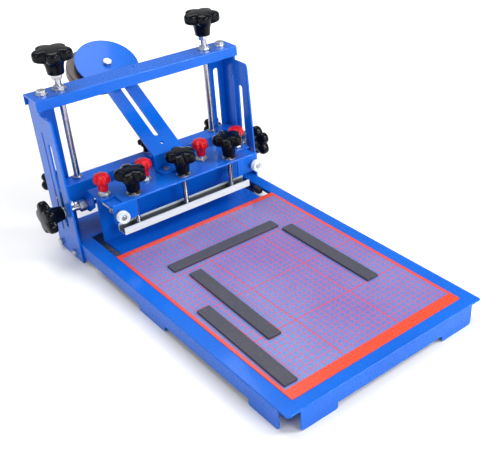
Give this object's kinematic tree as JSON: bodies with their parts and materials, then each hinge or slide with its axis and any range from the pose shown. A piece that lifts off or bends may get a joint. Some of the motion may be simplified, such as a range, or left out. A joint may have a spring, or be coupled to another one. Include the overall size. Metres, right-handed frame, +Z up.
{
  "type": "tabletop screen printing press",
  "caption": "Tabletop one-colour screen printing press: folded blue base with a grid sheet, uprights with lift screws, a tilting screen clamp with micro-registration and a counterweight.",
  "frame": {"origin": "on the table, under the middle of the whole press", "axes": "+X to the operator's right, +Y from the operator to the back, +Z up"},
  "size_m": [0.4372, 0.7456, 0.328],
  "materials": {
    "blue_coat": "glossy powder coat",
    "grid_sheet": "printed sheet, satin",
    "steel_zinc": "bright zinc plate",
    "steel_rod": "polished",
    "aluminium": "satin",
    "black_knob": "glossy",
    "red_knob": "satin",
    "iron": "dark brown lacquer",
    "rubber": "matte",
    "strip": "matte magnetic rubber"
  },
  "bodies": {
    "base": {"base_tray": "blue_coat", "grid_sheet": "grid_sheet", "upright_left": "blue_coat", "upright_right": "blue_coat", "upright_bolts": "steel_zinc", "crossbar": "blue_coat", "crossbar_bolts": "steel_zinc", "spindle_nuts": "steel_zinc", "rest_stops": "rubber"},
    "strip_rear": {"magnet_strip_rear": "strip"},
    "strip_right": {"magnet_strip_right": "strip"},
    "strip_middle": {"magnet_strip_middle": "strip"},
    "strip_left": {"magnet_strip_left": "strip"},
    "carriage": {"carriage_beam": "blue_coat", "carriage_cheek_left": "steel_zinc", "carriage_cheek_right": "steel_zinc", "carriage_bolts": "steel_zinc", "pivot_shaft": "steel_rod", "rear_lock_studs": "steel_zinc", "lock_washers": "steel_zinc", "stop_screw": "steel_zinc"},
    "lift_spindle_left": {"spindle_left": "steel_rod", "spindle_knob_left": "black_knob"},
    "lift_spindle_right": {"spindle_right": "steel_rod", "spindle_knob_right": "black_knob"},
    "side_lock_left": {"side_lock_knob_left": "black_knob"},
    "side_lock_right": {"side_lock_knob_right": "black_knob"},
    "rear_lock_left": {"rear_lock_knob_left": "black_knob"},
    "rear_lock_right": {"rear_lock_knob_right": "black_knob"},
    "stop": {"stop_knob": "black_knob"},
    "x_register": {"x_adjust_nuts": "steel_zinc"},
    "head": {"tilt_frame": "blue_coat", "counterweight_arm": "blue_coat", "arm_bolts": "steel_zinc"},
    "weight": {"weight_disc": "blue_coat", "counterweight": "iron", "weight_bolt": "steel_zinc"},
    "micro_screw_left": {"y_screw_left": "steel_zinc", "y_thumb_ring_left": "aluminium"},
    "micro_screw_right": {"y_screw_right": "steel_zinc", "y_thumb_ring_right": "aluminium"},
    "holder": {"screen_holder": "blue_coat", "web_nuts": "steel_zinc", "clamp_nuts": "steel_zinc", "red_lock_studs": "steel_zinc"},
    "red_lock_1": {"red_lock_knob_1": "red_knob"},
    "red_lock_2": {"red_lock_knob_2": "red_knob"},
    "red_lock_3": {"red_lock_knob_3": "red_knob"},
    "red_lock_4": {"red_lock_knob_4": "red_knob"},
    "clamp": {"clamp_bar": "aluminium", "clamp_feet": "rubber"},
    "clamp_screw_left": {"clamp_rod_left": "steel_rod", "clamp_knob_left": "black_knob"},
    "clamp_screw_middle": {"clamp_rod_middle": "steel_rod", "clamp_knob_middle": "black_knob"},
    "clamp_screw_right": {"clamp_rod_right": "steel_rod", "clamp_knob_right": "black_knob"}
  },
  "joints": [
    {"name": "strip_rear_slide", "type": "slide", "parent": "base", "child": "strip_rear", "axis": [0, 1, 0], "range_m": [-0.008, 0.04]},
    {"name": "strip_right_slide", "type": "slide", "parent": "base", "child": "strip_right", "axis": [1, 0, 0], "range_m": [-0.02, 0.03]},
    {"name": "strip_middle_slide", "type": "slide", "parent": "base", "child": "strip_middle", "axis": [1, 0, 0], "range_m": [-0.005, 0.03]},
    {"name": "strip_left_slide", "type": "slide", "parent": "base", "child": "strip_left", "axis": [1, 0, 0], "range_m": [-0.005, 0.006]},
    {"name": "lift", "type": "slide", "parent": "base", "child": "carriage", "axis": [0, 0, 1], "range_m": [-0.009, 0.045]},
    {"name": "lift_turn_left", "type": "hinge", "parent": "carriage", "child": "lift_spindle_left", "pos_m": [-0.1328, 0.21525, 0.2], "axis": [0, 0, 1], "range_deg": [-1081, 5401]},
    {"name": "side_lock_turn_left", "type": "hinge", "parent": "carriage", "child": "side_lock_left", "pos_m": [-0.19, 0.18075, 0.082], "axis": [-1, 0, 0], "range_deg": [-180, 180]},
    {"name": "rear_lock_turn_left", "type": "hinge", "parent": "carriage", "child": "rear_lock_left", "pos_m": [-0.161, 0.24225, 0.102], "axis": [0, 1, 0], "range_deg": [-180, 180]},
    {"name": "lift_turn_right", "type": "hinge", "parent": "carriage", "child": "lift_spindle_right", "pos_m": [0.1328, 0.21525, 0.2], "axis": [0, 0, 1], "range_deg": [-1081, 5401]},
    {"name": "side_lock_turn_right", "type": "hinge", "parent": "carriage", "child": "side_lock_right", "pos_m": [0.19, 0.18075, 0.082], "axis": [1, 0, 0], "range_deg": [-180, 180]},
    {"name": "rear_lock_turn_right", "type": "hinge", "parent": "carriage", "child": "rear_lock_right", "pos_m": [0.161, 0.24225, 0.102], "axis": [0, 1, 0], "range_deg": [-180, 180]},
    {"name": "stop_turn", "type": "hinge", "parent": "carriage", "child": "stop", "pos_m": [0, 0.21925, 0.12], "axis": [0, 0, 1], "range_deg": [-180, 180]},
    {"name": "side_register", "type": "slide", "parent": "carriage", "child": "x_register", "axis": [1, 0, 0], "range_m": [-0.003, 0.003]},
    {"name": "head_tilt", "type": "hinge", "parent": "x_register", "child": "head", "pos_m": [0, 0.18075, 0.082], "axis": [-1, 0, 0], "range_deg": [0, 40]},
    {"name": "weight_slide", "type": "slide", "parent": "head", "child": "weight", "axis": [0, 0.866, 0.5], "range_m": [-0.035, 0.014]},
    {"name": "fore_aft_register", "type": "slide", "parent": "head", "child": "holder", "axis": [0, 1, 0], "range_m": [-0.002, 0.002]},
    {"name": "micro_turn_left", "type": "hinge", "parent": "head", "child": "micro_screw_left", "pos_m": [-0.1289, 0.09225, 0.0955], "axis": [0, 1, 0], "range_deg": [-721, 721]},
    {"name": "micro_turn_right", "type": "hinge", "parent": "head", "child": "micro_screw_right", "pos_m": [0.1289, 0.09225, 0.0955], "axis": [0, 1, 0], "range_deg": [-721, 721]},
    {"name": "red_lock_turn_1", "type": "hinge", "parent": "holder", "child": "red_lock_1", "pos_m": [-0.1285, 0.13425, 0.125], "axis": [0, 0, 1], "range_deg": [-180, 180]},
    {"name": "red_lock_turn_2", "type": "hinge", "parent": "holder", "child": "red_lock_2", "pos_m": [-0.0547, 0.13425, 0.125], "axis": [0, 0, 1], "range_deg": [-180, 180]},
    {"name": "red_lock_turn_3", "type": "hinge", "parent": "holder", "child": "red_lock_3", "pos_m": [0.0547, 0.13425, 0.125], "axis": [0, 0, 1], "range_deg": [-180, 180]},
    {"name": "red_lock_turn_4", "type": "hinge", "parent": "holder", "child": "red_lock_4", "pos_m": [0.1285, 0.13425, 0.125], "axis": [0, 0, 1], "range_deg": [-180, 180]},
    {"name": "clamp_lift", "type": "slide", "parent": "holder", "child": "clamp", "axis": [0, 0, 1], "range_m": [-0.0025, 0.02]},
    {"name": "clamp_turn_left", "type": "hinge", "parent": "clamp", "child": "clamp_screw_left", "pos_m": [-0.0918, 0.10625, 0.1], "axis": [0, 0, 1], "range_deg": [-721, 5761]},
    {"name": "clamp_turn_middle", "type": "hinge", "parent": "clamp", "child": "clamp_screw_middle", "pos_m": [0, 0.10625, 0.1], "axis": [0, 0, 1], "range_deg": [-721, 5761]},
    {"name": "clamp_turn_right", "type": "hinge", "parent": "clamp", "child": "clamp_screw_right", "pos_m": [0.0918, 0.10625, 0.1], "axis": [0, 0, 1], "range_deg": [-721, 5761]}
  ],
  "couplings": [
    {"joint": "lift_turn_left", "follows": "lift", "rad_per_m": 2094.4},
    {"joint": "lift_turn_right", "follows": "lift", "rad_per_m": 2094.4},
    {"joint": "micro_turn_left", "follows": "fore_aft_register", "rad_per_m": 6283.2},
    {"joint": "micro_turn_right", "follows": "fore_aft_register", "rad_per_m": 6283.2},
    {"joint": "clamp_turn_left", "follows": "clamp_lift", "rad_per_m": 5026.5},
    {"joint": "clamp_turn_middle", "follows": "clamp_lift", "rad_per_m": 5026.5},
    {"joint": "clamp_turn_right", "follows": "clamp_lift", "rad_per_m": 5026.5}
  ]
}
